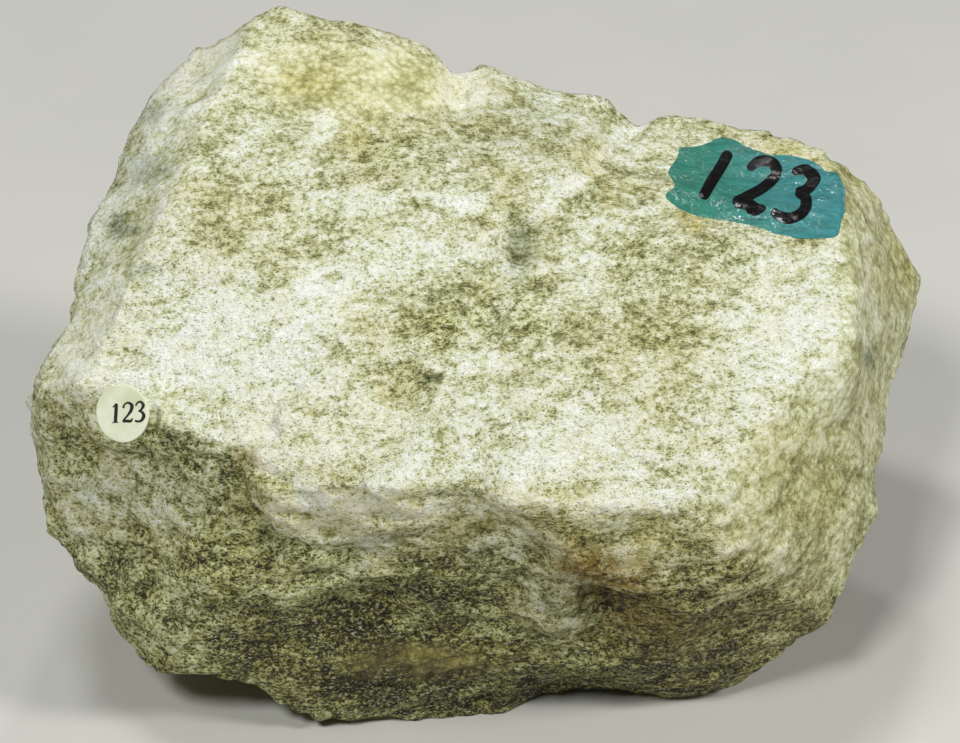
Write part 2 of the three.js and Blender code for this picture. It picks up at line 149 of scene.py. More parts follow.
# long steps: from, to, height in mm (positive lifts the side left of the way), width, reach
ledges = {
    "middle slab's rim": (seen(22.5, 34, -8), seen(5, 22, 11), -1.7, 1.1, 12),
    "left slab's rim": (seen(6, 22, 11), seen(-9, 25.5, 9), -1.3, 1, 9),
    "left slab's end": (seen(1.5, 17, 15), seen(-6.5, -2, 27), -0.9, 1, 12),
    "drop under the paint": (seen(52, 19, 4), seen(26, 21, 8), 2.2, 1.8, 11),
    "overhang": (seen(2, -18.5, 35), seen(22, -38, 16), 3.6, 2.2, 15),
    "front notch": (seen(-31.5, -9, 31), seen(-30, -21.5, 28), 2.2, 1, 11),
    "foot": (seen(-29, -40.5, 10), seen(3, -39.5, 13), -2.2, 1.5, 9),
    "back ledge": (facing(70, 30) * 45, facing(120, 2) * 46, 4, 1.2, 15),
    "back chip": (facing(40, -20) * 47, facing(75, -2) * 45, -3.4, 1.1, 13),
    "back slab's rim": (facing(136, 16) * 50, facing(98, -24) * 45, -3, 1.1, 12),
    "underside step": (facing(180, -38) * 46, facing(140, -20) * 50, 1.8, 1.2, 12),
}
ledgeEnd = 5.0   # mm, a ledge fades out within this length past its ends

# lumps and hollows: a place, height in mm, half widths, turn in degrees
lumps = {
    "lit ridge": (seen(12, -36, 18), 2.2, (4.5, 7), -40),
    "brown valley": (seen(20, -33, 21), -2.4, (8, 3.6), -42),
    "under the corner": (seen(35, -41, 6), 1.5, (8, 4), 10),
    "beside the foot": (seen(-38, -46, 0), -3, (6.5, 4), 0),
    "below the label": (seen(-47, -17, 21), -1, (7, 4.5), 10),
    "above the foot": (seen(-17, -36, 16), -1.6, (9, 3.4), 8),
    "lower left knob": (seen(-36, -31, 21), 1.3, (9, 6), -25),
    "notch": (seen(-3.5, 40.5, -7), -1.4, (2.6, 3.5), -30),
    "waxy hollow": (seen(-9.5, 41.5, -4), -1.1, (5, 3.4), -12),
    "wedge": (seen(5.5, 30, 4), -1.2, (8, 6), 0),
    "grey knob": (seen(6, 17, 13), -0.8, (2, 2.6), 0),
    "dark dent": (seen(-4, 12, 18), -0.8, (4, 1.8), 15),
    "second dent": (seen(-9, 6, 22), -0.8, (4.5, 1.6), 20),
    "slab's corner": (seen(51, 13.5, 12), 1, (3.5, 3), 0),
    "slab's swell": (seen(45, 4, 20), 0.7, (8, 7), 0),
    "top lobe's swell": (seen(-24, 42, -3), 0.9, (12, 6), -10),
    "back hollow": (facing(105, 14) * 44, -3.2, (11, 7), 20),
    "back swell": (facing(60, -5) * 47, 1.8, (12, 8), -15),
    "left end's hollow": (facing(175, 5) * 60, -1.8, (7, 6), 0),
}
formDepth = 25.0   # mm, ledges and lumps fade this far inwards

label = {
    "place": seen(-51.5, -6, 24.8),
    "azimuth": -113, "elevation": 28,
    "diameter": 8, "thickness": 0.5,
    "gap": 0.3,   # mm that the label's back stands off the worn edge, filled by glued stone dust
    "seatRadius": 3.9, "seatFade": 3,
}

paint = {
    "middle": (39.9, 26.3),   # mm right and up
    "facing": (-20, 80),   # the mean way that the painted facet faces
    "thickness": 0.16,
    "back": 0.22, "edgeSunk": 0.03,   # mm that the film's back and its edge lie below the stone's surface
    "ragged": 0.012,   # share by which its edge strays
    "filled": (0.55, 0.75),   # shares of the small and of the fine relief that the paint fills
    "fillEdge": (0.98, 1.12),   # share of the way to its edge where that starts to end, and has ended
    "sink": 0.3,   # mm that the stone is drawn below the film
    "sinkEdge": (0.86, 0.96),   # share of the way to the edge where that starts to end, and has ended
    "farAway": 22,   # mm from its middle that it never reaches
    "outline": np.array([
        (28.8, 32.5), (32, 32.8), (34.6, 34), (37, 33.5), (38.4, 32.7), (42, 31.5), (45.1, 31.4),
        (48, 30.6), (50, 29.3), (51.8, 27.7), (52.7, 25.8), (52.5, 23), (51.6, 19.6), (48.3, 19.5),
        (43.3, 20.1), (40.7, 20.7), (36.1, 21.8), (32, 22.4), (28, 24.1), (26.7, 25.6), (28, 26.9),
        (27.2, 29.2), (28.7, 31.7),
    ]),
}


texture = {
    # size in mm along, across and through the leaves, seed, sharpness, height in mm
    "coarse chips": ((13, 7.5, 6.5), 20, 9.0, 1.25),
    "small chips": ((6.4, 3.5, 2.9), 40, 9.0, 0.78),
    "fine chips": ((3.0, 2.0, 1.7), 60, 14.0, 0.62),
    "leafSize": (2.4, 1.5, 1.3), "leafSeed": 90, "leafHeight": 0.26,
    # smooth swells: size in mm, seed, height in mm
    "form": ((30, 11, 1.3), (13, 12, 0.7)),
    "crumbs": ((1.0, 95, 0.22),),
    "ledges stray": ((5.0, 77, 1.6), (2.2, 78, 0.7)),
    "lumps stray along": ((4.0, 81, 1.5),),
    "lumps stray across": ((4.0, 82, 1.5),),
    "stains stray right": ((2.6, 51, 1.1), (0.9, 52, 0.5)),
    "stains stray up": ((2.6, 53, 1.1), (0.9, 54, 0.5)),
    "frostAndLight": ((7, 64, 0.16),), "hidden frost": ((11, 65, 0.2),),
    "fineLimit": 0.6,   # mm, which the fine relief comes near and never passes
    "crumbFull": 0.55,   # mm of small relief that shows as a full crumb
}


def gridHash(x, y, z, seed):
    # whole-number places to even random numbers from -1 to 1
    h = np.uint32(seed * 2654435761 & 0xffffffff)
    for value, prime in ((x, 73856093), (y, 19349663), (z, 83492791)):
        h = h ^ (value & 0xffffffff).astype(np.uint32) * np.uint32(prime)
    for shift, prime in ((16, 2246822507), (13, 3266489909)):
        h = (h ^ h >> np.uint32(shift)) * np.uint32(prime)
    return (h ^ h >> np.uint32(16)) / 4294967295.0 * 2 - 1


def swell(p, seed):
    # smooth noise: random heights on a grid of unit cells, blended by 6t^5 - 15t^4 + 10t^3
    cell = np.floor(p).astype(np.int64)
    f = p - cell
    s = f * f * f * (f * (f * 6 - 15) + 10)
    total = 0
    for corner in np.ndindex(2, 2, 2):
        weight = np.where(corner, s, 1 - s).prod(1)
        total = total + weight * gridHash(*(cell + corner).T, seed)
    return total


def swells(p, name):
    # smooth noises of the texture's sizes, seeds and heights, added up
    return sum(swell(p / size, seed) * height for size, seed, height in texture[name])


def chips(p, name):
    # fracture facets: each cell has a plane of random tilt, mixed by exp(-sharpness distance^2)
    size, seed, sharp, height = texture[name]
    p = alongGrain(p, size)
    cell = np.floor(p).astype(np.int64)
    total = np.zeros(len(p))
    weights = np.zeros(len(p))
    for corner in np.ndindex(3, 3, 3):
        near = cell + corner - 1
        random = np.stack([gridHash(*near.T, seed + k) for k in range(7)], 1)
        off = p - near - 0.5 - 0.45 * random[:, :3]
        weight = np.exp(-sharp * (off * off).sum(1))
        total += weight * ((off * random[:, 3:6]).sum(1) + 0.35 * random[:, 6])
        weights += weight
    return total / weights * height


def leafAxes():
    # unit vectors along, across and through the leaves of the rock
    through = facing(*stone["leafNormal"])
    rise = np.radians(stone["leafRise"])
    along = squareTo(np.cos(rise) * viewRight + np.sin(rise) * viewUp, through)
    return np.array([along, np.cross(through, along), through])


def alongGrain(p, size):
    # places in cells of a size along, across and through the leaves
    return p @ leafAxes().T / np.array(size)


def brokenBlock(d):
    # radius where each direction meets the nearest fracture face, rounded where faces meet
    reach = np.maximum(d @ normals.T / distances, 1e-6)
    top = reach.max(1)
    density, seed = stone["wearSwells"]
    wear = np.exp(stone["edgeWear"] * swell(d * density, seed))
    sharp = 1 / (top ** 2 * stone["edgeRound"] * wear)
    near = np.exp(sharp[:, None] * (reach - top[:, None]))
    inverse = top + np.log(near.sum(1)) / sharp
    near = np.exp(stone["roughBlend"] * (reach - top[:, None]))
    return 1 / inverse, (near * roughness).sum(1) / near.sum(1)


def facetLooks(d):
    # frost (which holds painted light) and wax of the nearest fracture faces, blended over about a
    # millimetre at their edges
    reach = d @ normals.T / distances
    near = np.exp(stone["looksBlend"] * (reach - reach.max(1)[:, None]))
    near = near / near.sum(1)[:, None]
    return near @ frostAndLitness, near @ waxiness


def ledgeHeight(p):
    # each step is half its height times tanh(distance from its line / width), faded away from the line
    total = np.zeros(len(p))
    stray = swells(p, "ledges stray")
    for start, end, height, width, reach in ledges.values():
        middle = (start + end) / 2
        length = np.linalg.norm(end - start)
        way, out = unit(end - start), unit(middle)
        s = (p - middle) @ np.cross(out, way) + stray
        past = np.maximum(abs((p - middle) @ way) - length / 2, 0)
        inwards = np.minimum((p - middle) @ out, 0) / formDepth
        fade = np.exp(-(past / ledgeEnd) ** 2 - (s / reach) ** 2 - inwards ** 2)
        total += height / 2 * np.tanh(s / width) * fade
    return total


def lumpHeight(p):
    # each lump is height / (1 + e^2), where e is the squared distance in half widths
    total = np.zeros(len(p))
    strayAlong, strayAcross = swells(p, "lumps stray along"), swells(p, "lumps stray across")
    for place, height, halves, turn in lumps.values():
        out = unit(place)
        t = np.radians(turn)
        u = squareTo(np.cos(t) * viewRight + np.sin(t) * viewUp, out)
        v = np.cross(out, u)
        d = p - place
        e = ((d @ u + strayAlong) / halves[0]) ** 2 + ((d @ v + strayAcross) / halves[1]) ** 2
        e = e + (np.minimum(d @ out, 0) / formDepth) ** 2
        total += height / (1 + e * e)
    return total


def broadForm(d):
    # broken block, broad swells, coarse chips, ledges and lumps
    r, rough = brokenBlock(d)
    p = d * r[:, None]
    return r + swells(p, "form") + rough * chips(p, "coarse chips") + ledgeHeight(p) + lumpHeight(p), rough


def ringBlur(values, half):
    # gaussian average of a closed ring of values over half steps each way
    k = np.exp(-np.linspace(-2, 2, 2 * half + 1) ** 2)
    return np.convolve(np.concatenate([values[-half:], values, values[:half]]), k / k.sum(), "valid")


def outlineReach(corners, turn):
    # how far a closed outline lies from (0, 0) in the direction of each turn
    x, y = corners.T
    dx, dy = np.roll(x, -1) - x, np.roll(y, -1) - y
    c, s = np.cos(turn)[:, None], np.sin(turn)[:, None]
    slant = c * dy - s * dx
    slant = np.where(abs(slant) < 1e-9, 1e-9, slant)
    radius = (x * dy - y * dx) / slant
    share = (x * s - y * c) / slant
    return np.where((share >= 0) & (share <= 1) & (radius > 0), radius, 0).max(1)


def measureRim():
    # for each turn round the line of sight: tilt of the stone's rim, and outline over rim, slow and quick
    turn = np.linspace(-np.pi, np.pi, stone["turns"], endpoint=False)
    tilt = np.radians(np.linspace(*stone["tiltRange"], stone["tilts"]))
    a, t = np.meshgrid(turn, tilt, indexing="ij")
    d = (np.cos(a) * np.sin(t))[..., None] * viewRight + (np.sin(a) * np.sin(t))[..., None] * viewUp
    d = d + np.cos(t)[..., None] * viewTowards
    r = broadForm(d.reshape(-1, 3))[0].reshape(a.shape)
    shown = r * np.sin(t) * view["distance"] / (view["distance"] - r * np.cos(t))
    widest = shown.argmax(1)
    ratio = outlineReach(outline, turn) / shown.max(1)
    slow = ringBlur(ratio, stone["slowBlur"])
    return turn, ringBlur(tilt[widest], stone["tiltBlur"]), slow, ringBlur(ratio, stone["quickBlur"]) - slow


rim = measureRim()


def underPaint(p):
    # share of the way from the paint's middle to its edge, far more than 1 away from it
    right, up = shownAt(p)
    right, up = right - paint["middle"][0], up - paint["middle"][1]
    turn = np.linspace(-np.pi, np.pi, 181)
    reach = np.interp(np.arctan2(up, right), turn, outlineReach(paint["outline"] - paint["middle"], turn))
    away = np.linalg.norm(p - paint["place"], axis=1)
    return np.hypot(right, up) / reach + np.where(away > paint["farAway"], 9.0, 0.0)


def softStep(value, low, high):
    t = np.clip((value - low) / (high - low), 0, 1)
    return t * t * (3 - 2 * t)


def stoneRadius(d, painted=None):
    # the whole surface: broad form pulled to the outline near its rim, then small chips, leaves and
    # crumbs, calmer under the paint; returns the radius and the height of the small relief
    r, rough = broadForm(d)
    ring, rimTilt, slow, quick = rim
    a = np.arctan2(d @ viewUp, d @ viewRight)
    tilt = np.arccos(np.clip(d @ viewTowards, -1, 1))

    def onRing(values):
        return np.interp(a, np.append(ring, np.pi), np.append(values, values[0]))

    off = np.degrees(tilt - onRing(rimTilt))
    pull = (onRing(slow) - 1) * np.exp(-(off / stone["slowFade"]) ** 2)
    r = r * (1 + pull + onRing(quick) * np.exp(-(off / stone["quickFade"]) ** 2))
    p = d * r[:, None]
    small = chips(p, "small chips")
    leaves = swell(alongGrain(p, texture["leafSize"]), texture["leafSeed"]) * texture["leafHeight"]
    fine = chips(p, "fine chips") + leaves + swells(p, "crumbs")
    fine = texture["fineLimit"] * np.tanh(fine / texture["fineLimit"])
    share = underPaint(p) if painted is None else painted
    calm = 1 - softStep(share, *paint["fillEdge"])
    smallFilled, fineFilled = paint["filled"]
    relief = rough * (small * (1 - calm * smallFilled) + fine * (1 - calm * fineFilled))
    n = facing(label["azimuth"], label["elevation"])
    away = np.linalg.norm(p - label["place"], axis=1)
    edge = label["seatRadius"] + label["seatFade"] / 2
    seat = 1 / (1 + np.exp(np.clip((away - edge) / label["seatFade"] * 8, -40, 40)))
    onSeat = (n @ label["place"] + label["gap"]) / np.maximum(d @ n, 0.2)
    r = (r + relief) * (1 - seat) + onSeat * seat
    return r, small + fine, share


def cubeSphere(n, stretch):
    # directions on a cube's grid, evened out by a tangent, and the squares between them, seams shared
    g = np.arange(n + 1)
    i, j = np.meshgrid(g, g, indexing="ij")
    faces = []
    for axis in range(3):
        for side in (0, n):
            c = [None] * 3
            c[axis] = np.full_like(i, side)
            c[(axis + 1) % 3], c[(axis + 2) % 3] = i, j
            key = (c[0] * (n + 1) + c[1]) * (n + 1) + c[2]
            square = np.stack([key[:-1, :-1], key[1:, :-1], key[1:, 1:], key[:-1, 1:]], -1).reshape(-1, 4)
            faces.append(square if side else square[:, ::-1])
    used, squares = np.unique(np.concatenate(faces), return_inverse=True)
    places = np.stack([used // (n + 1) ** 2, used // (n + 1) % (n + 1), used % (n + 1)], 1)
    d = np.tan((places / n * 2 - 1) * np.pi / 4) * np.array(stretch)
    return unit(unit(d) + stone["crowding"] * viewTowards), squares.reshape(-1, 4)


def inFrame(p):
    # mm from the stone's middle to metres in the part's own frame
    return (p + np.array(stone["middle"])) / 1000


def makePiece(name, places, faces):
    mesh = bpy.data.meshes.new(name)
    mesh.from_pydata(places.tolist(), [], faces)
    mesh.polygons.foreach_set("use_smooth", np.ones(len(mesh.polygons), bool))
    mesh.update()
    piece = bpy.data.objects.new(name, mesh)
    bpy.context.scene.collection.objects.link(piece)
    return piece


def closedFaces(rows, columns):
    # faces of a grid that is closed round its columns and drawn to a point at its first and last row
    here = 1 + np.arange((rows - 2) * columns).reshape(-1, columns)
    beside = np.roll(here, -1, axis=1)
    quads = np.stack([here[:-1], beside[:-1], beside[1:], here[1:]], -1)
    start = np.stack([np.zeros_like(here[0]), beside[0], here[0]], -1)
    end = np.stack([np.full_like(here[0], here.max() + 1), here[-1], beside[-1]], -1)
    return quads.reshape(-1, 4).tolist() + start.tolist() + end.tolist()


def closedPlaces(grid):
    # the same grid's places: one for the first row, the middle rows, one for the last row
    return np.concatenate([grid[:1, 0], grid[1:-1].reshape(-1, 3), grid[-1:, 0]])


def addNumbers(piece, name, values):
    piece.data.attributes.new(name, "FLOAT", "POINT").data.foreach_set("value", values.astype(np.float32))


def paintedRadius(d):
    # radius of the stone's calm surface under the paint
    return stoneRadius(d, painted=np.zeros(len(d)))[0]


def paintedPlace(d):
    return d * paintedRadius(d)[:, None]


def onPaintedFacet(right, up, start):
    # where the paint lies, from a start on its facet: the line of sight meets a plane through the surface,
    # moved four times to where the surface really is
    across = right[:, None] * viewRight + up[:, None] * viewUp
    way = viewTowards - across / view["distance"]
    n = facing(*paint["facing"])
    height = np.full(len(right), start @ n)
    for _ in range(4):
        t = (height - across @ n) / (way @ n)
        p = across + t[:, None] * way
        d = unit(p)
        height = paintedPlace(d) @ n
    return d


paint["place"] = seen(*paint["middle"], 0.0)
paintMiddle = onPaintedFacet(*np.array(paint["middle"])[:, None], paint["place"])
paint["place"] = paintedPlace(paintMiddle)[0]
print("paint's middle lies at", paint["place"].round(2))

directions, squares = cubeSphere(stone["fineness"], stone["stretch"])
radius, smallRelief, paintShare = stoneRadius(directions)
radius = radius - paint["sink"] * (1 - softStep(paintShare, *paint["sinkEdge"]))
places = directions * radius[:, None]
places[:, 2] = np.maximum(places[:, 2], -stone["middle"][2])
block = makePiece("stone_surface", inFrame(places), squares.tolist())
print("stone's surface made,", len(squares) * 2, "triangles")

# stains, local finishes, painted highlights and painted shade on the side that the eye sees: strength,
# right and up in mm, half widths in mm, turn in degrees
stains = {
    "frostAndLight": [
        (0.3, 46.8, 6.3, 7, 10, -12),   # whitest slab at the right
        (0.7, 8, -14.6, 5, 2, 0),   # painted highlight on the front edge
        (0.6, -31.2, -11.1, 2.3, 3.6, 0),
        (0.9, -2.6, 40.4, 2.4, 3, 0),   # fresh chip in the notch
        (0.95, -42.6, 42.6, 6.6, 3, 38), (0.45, 23, -18.4, 14, 1.3, 4),
        (0.7, -2.8, 24.1, 7.5, 0.9, -10),   # painted highlights on the rims of the wedge, where the slabs' edges catch the light
        (0.7, 15, 29.2, 10.5, 1, 40), (0.35, -14, 12, 13, 6, 12), (0.35, -33, 5, 12, 7, 15),
        (-0.04, 39, 18.2, 14.5, 2, -8),   # band under the paint
        # darker: the smooth olive hollow, and painted shade at the ledge below the dark dent
        (-0.25, -9.9, 42.2, 4.6, 3.6, -12), (-0.25, -4, 10, 7, 5, 20),
        (0.22, 30, -24, 17, 5.5, 6),   # pale facet at the lower right
        (0.32, -10, -22.5, 19, 4.2, -4),   # lighter just below the front edge
        (0.34, -10, -18.8, 17, 2.6, -3),
        (0.2, -58, -4, 6, 6.5, 0),   # paler round the label
        (0.1, -54, -20, 6, 6, 0),
        (0.26, 10, -33, 5, 6.5, -40),   # painted highlight on the ridge beside the brown valley
        (0.2, -26, -19, 5, 6, 0), (0.15, -50, -17, 10, 8, 0),
    ],
    "ochre": [
        (0.45, -19.6, 43, 14, 5.5, -8),   # tan top lobe
        (0.5, -25.2, 41.8, 5.5, 2.6, 0), (0.55, -18.3, 33.8, 2.2, 2, 0), (0.6, 16.2, 31.7, 2.2, 2.4, 0),
        (0.55, 4.3, 27.6, 2, 2.6, 0), (0.45, 19.6, 25.4, 2, 2.4, 0), (0.5, 1.4, 12.5, 2.2, 1.2, 0),
        (0.5, -13.8, -3.4, 1.8, 1.6, 0),
        (0.9, 30.6, 22, 2.6, 1.2, -25),   # ochre rim at the paint
        (0.7, 45.7, 31.2, 9, 2.2, -25), (0.55, 60.4, 14.7, 3.2, 5, 0), (0.85, -9.9, -42.1, 10, 2.2, 0),
        (0.4, 0, -20, 18, 4, 5),
        (0.45, 46, -16, 7, 9, 20),   # warm tint for light glowing through the thin corner: a painted glow
        (0.45, 26, -25, 14, 4.5, 8),
    ],
    "moss": [
        (0.5, -47.5, 37.6, 2.2, 2, 20),   # grey-green
        (0.5, -48.1, 29.5, 2.8, 2.9, 0), (0.85, -52, 20.8, 2.3, 1.7, 0),
        (0.65, -48.6, 14.7, 1.8, 0.8, 10), (0.95, -6.8, -0.7, 0.9, 0.8, 0),
        (0.6, -31.2, -23.7, 1.5, 2.4, 0), (0.9, 56.2, 1.7, 1.2, 1.6, 0), (0.7, 6.1, 17.6, 2.5, 4, 0),
        (0.18, 5, 36, 9, 4, 0), (0.25, 12, -34, 4, 6, -40),
    ],
    "rust": [
        (0.4, -9.9, -42.1, 10, 2.2, 0),
        (0.8, 21.7, -33.8, 11, 5, -35),   # brown stain with painted shadow in the valley
        (0.6, -33.2, -12.8, 1.8, 1.5, 0), (0.35, 38, -33, 12, 8, 0), (0.9, -6, -1, 0.5, 0.4, 0),
        (0.45, 13, -25, 9, 2.6, -42),
    ],
    # dark patches, most of them painted shade: in the wedge, below the dents' ledges, in the front notch
    # and in the valley
    "darkAndShade": [
        (0.45, 5.8, 21.5, 1.7, 2.2, 0), (0.55, -3.6, 11.8, 4, 1.6, 12), (0.45, -9.4, 5.7, 2.5, 2, 0),
        (0.45, -9.4, -0.5, 4, 1.1, 0), (0.35, -36, -12.5, 2, 2, 0), (0.3, 5, -30, 14, 6, -30),
        (0.55, -24, -41, 13, 4.5, -14),   # painted shade on the undersides
        (0.6, -11, -35, 10, 4.2, 0), (0.6, -4, -46, 20, 3.6, 2), (0.45, 28, -44, 14, 4, 8),
        (0.45, -14, -40, 9, 2.2, -8),
    ],
    "wax": [
        (0.85, -9.9, 42.2, 4.6, 3.9, -12),   # smooth olive hollow
        (0.45, -21, 42, 13, 6, -8),
        (0.75, -9.9, -42.1, 10, 2.4, 0),   # smooth patch on the foot
        (0.45, -46.4, -4.6, 2.4, 4.4, -20),   # glue beside the label
    ],
}

# tints that drift over the whole stone: kind, size in mm, seed, gain, start, most, where
drifts = [
    ("ochre", 14, 61, 1.6, -0.1, 0.6, "mostly hidden"),
    ("ochre", 4.5, 66, 1.5, 0.15, 0.55, "coarse"),
    ("moss", 9, 62, 1.8, -0.75, 0.7, "hidden"),
    ("rust", 12, 63, 1.6, -0.55, 0.7, "hidden"),
]
grazing = (-0.05, 0.2)   # from where a surface turns away from the eye to where it faces it fully


def stainLevels(p, facesEye):
    # each stain is strength / (1 + e^3), where e is the squared distance in half widths, with ragged edges,
    # only where the surface faces the eye
    right, up = shownAt(p)
    right = right + swells(p, "stains stray right")
    up = up + swells(p, "stains stray up")
    levels = {kind: np.zeros(len(p)) for kind in stains}
    for kind, rows in stains.items():
        for strength, x, y, halfAcross, halfUp, turn in rows:
            c, s = np.cos(np.radians(turn)), np.sin(np.radians(turn))
            along = ((right - x) * c + (up - y) * s) / halfAcross
            across = ((up - y) * c - (right - x) * s) / halfUp
            levels[kind] += strength * facesEye / (1 + (along ** 2 + across ** 2) ** 3)
    return levels


def paintSurfaceNumbers():
    # the stone's looks, painted highlights and painted shade among them, as numbers on its vertices
    outwards = np.zeros(len(places) * 3, np.float32)
    block.data.vertices.foreach_get("normal", outwards)
    outwards = outwards.reshape(-1, 3)
    frostAndLight, wax = facetLooks(directions)
    facesEye = softStep(outwards @ viewTowards, *grazing)
    hidden = 1 - facesEye
    where = {"hidden": hidden, "mostly hidden": 0.35 + 0.65 * hidden, "coarse": (1 - frostAndLight) * (1 - wax)}
    levels = stainLevels(places, facesEye)
    for kind, size, seed, gain, start, most, region in drifts:
        levels[kind] += np.clip(swell(places / size, seed) * gain + start, 0, most) * where[region]
    # frost with its painted light: the faces' frost, high on lit faces and low on shaded ones, and the
    # frost stains with their painted highlights
    frostAndLight = frostAndLight + levels["frostAndLight"] + swells(places, "frostAndLight") + hidden * swells(places, "hidden frost")
    addNumbers(block, "frostAndLight", np.clip(frostAndLight, 0, 1))
    addNumbers(block, "wax", np.clip(wax + levels["wax"], 0, 1))
    addNumbers(block, "crumb", np.clip(smallRelief / texture["crumbFull"], -1, 1))
    for kind in ("ochre", "moss", "rust", "darkAndShade"):
        addNumbers(block, kind, np.clip(levels[kind], 0, 1))


paintSurfaceNumbers()
print("stains and finishes laid on the stone")


def node(tree, kind, inputs=None, **settings):
    made = tree.nodes.new("ShaderNode" + kind)
    for key, value in settings.items():
        setattr(made, key, value)
    for key, value in (inputs or {}).items():
        if isinstance(value, bpy.types.NodeSocket):
            tree.links.new(value, made.inputs[key])
        else:
            made.inputs[key].default_value = value
    return made


def newMaterial(name):
    # a material, its nodes, its shader and the places on the piece in metres
    material = bpy.data.materials.new(name)
    material.use_nodes = True
    tree = material.node_tree
    return material, tree, tree.nodes["Principled BSDF"], node(tree, "TexCoord").outputs["Object"]


def bumped(tree, height, distance, strength, under=None):
    # the surface's way, tilted by a height, over an earlier tilt
    inputs = {"Height": height, "Distance": distance, "Strength": strength}
    if under is not None:
        inputs["Normal"] = under
    return node(tree, "Bump", inputs).outputs[0]


def finishShader(tree, shader, colour, roughness, bump):
    for name, socket in (("Base Color", colour), ("Roughness", roughness), ("Normal", bump)):
        tree.links.new(socket, shader.inputs[name])


def noise(tree, place, size, detail=2.0, rough=0.55, stretch=(1, 1, 1), shift=(0, 0, 0)):
    # soft noise with swells of a size in mm, stretched along the axes of the place
    scale = tuple(1000 / (size * s) for s in stretch)
    scaled = node(tree, "Mapping", {"Vector": place, "Location": shift, "Scale": scale}).outputs[0]
    inputs = {"Vector": scaled, "Scale": 1.0, "Detail": detail, "Roughness": rough}
    return node(tree, "TexNoise", inputs).outputs["Fac"]


def maths(tree, how, *values):
    return node(tree, "Math", dict(enumerate(values)), operation=how).outputs[0]


def addOn(tree, total, socket, gain, centre=0.0):
    # total + gain * (socket - centre)
    if isinstance(total, float):
        total -= gain * centre
    elif centre:
        total = maths(tree, "ADD", total, -gain * centre)
    return maths(tree, "MULTIPLY_ADD", socket, gain, total)


def times(tree, a, b):
    return maths(tree, "MULTIPLY", a, b)


def stepped(tree, socket, low, high, fromLevel=0.0, toLevel=1.0):
    made = node(tree, "MapRange", {"Value": socket, "From Min": low, "From Max": high,
                                   "To Min": fromLevel, "To Max": toLevel}, interpolation_type="SMOOTHSTEP")
    return made.outputs["Result"]


def blendColour(tree, share, under, over, how="MIX"):
    # share, under and over are the mixing node's inputs 0, 6 and 7 for colours
    made = node(tree, "Mix", {0: share, 6: under, 7: over},
                data_type="RGBA", blend_type=how, clamp_factor=True)
    return made.outputs[2]


def ramp(tree, socket, stops):
    made = node(tree, "ValToRGB", {"Fac": socket})
    elements = made.color_ramp.elements
    while len(elements) < len(stops):
        elements.new(0.5)
    for element, (place, colour) in zip(elements, stops):
        element.position = place
        element.color = linear(colour)
    return made.outputs["Color"]


def linear(colour):
    # a colour as it shows, 0 to 255, to the renderer's own numbers
    c = np.array(colour) / 255
    c = np.where(c <= 0.04045, c / 12.92, ((c + 0.055) / 1.055) ** 2.4)
    return (*c.tolist(), 1.0)


soapstone = {
    # tone from 0 to 1: colours of the ground between the specks
    "tones": [(0.0, (84, 82, 44)), (0.2, (126, 126, 76)), (0.38, (172, 173, 122)), (0.54, (211, 214, 178)),
              (0.70, (232, 235, 219)), (0.88, (240, 243, 236)), (1.0, (246, 248, 244))],
    "tone": 0.305,   # of a surface with no frost
    "frostAndLightGain": 0.485, "crumbGain": 0.12, "darkAndShadeGain": -0.34, "gapShadeGain": -0.34,
    "coarseFrost": (0.30, 0.50),   # frost at which a surface is coarse, and where it is not at all
    "patchGain": (1.05, 1.1), "patchSize": 1.3, "patchStretch": (1.9, 1.2, 1.0),
    "grainGain": (0.6, 1.35), "grainSize": 0.62,
    "blotchGain": (0.42, 0.68), "blotchSize": 7.0,
    "speckSize": 0.29, "speckStretch": (1.35, 1.0, 1.0),
    "speckLevel": (0.53, 0.66),   # noise at which a speck starts and is full
    "speckByTone": 0.24, "evenTone": 0.62,
    # specks are darker on coarse faces, partly painted shadows of crystals in raking light
    "speckColour": (160, 164, 134), "coarseSpeckAndShadowColour": (118, 112, 66),
    # pale flecks, partly painted glints of crystals catching the light
    "fleckSize": 0.38, "fleckLevel": (0.55, 0.65),
    "fleckShare": (0.5, 0.52), "fleckAndGlintColour": (240, 238, 208),
    "coarseColour": (248, 252, 222),
    "ochre": (236, 223, 172), "moss": (112, 128, 100), "rust": (182, 150, 80),
    "roughness": 0.8, "waxRoughness": 0.42,
    "crumbSize": 0.95, "raggedSize": 0.9,
    "grainDepth": 0.0008, "crystalDepth": 0.00022, "frostedDepth": 0.9,
}


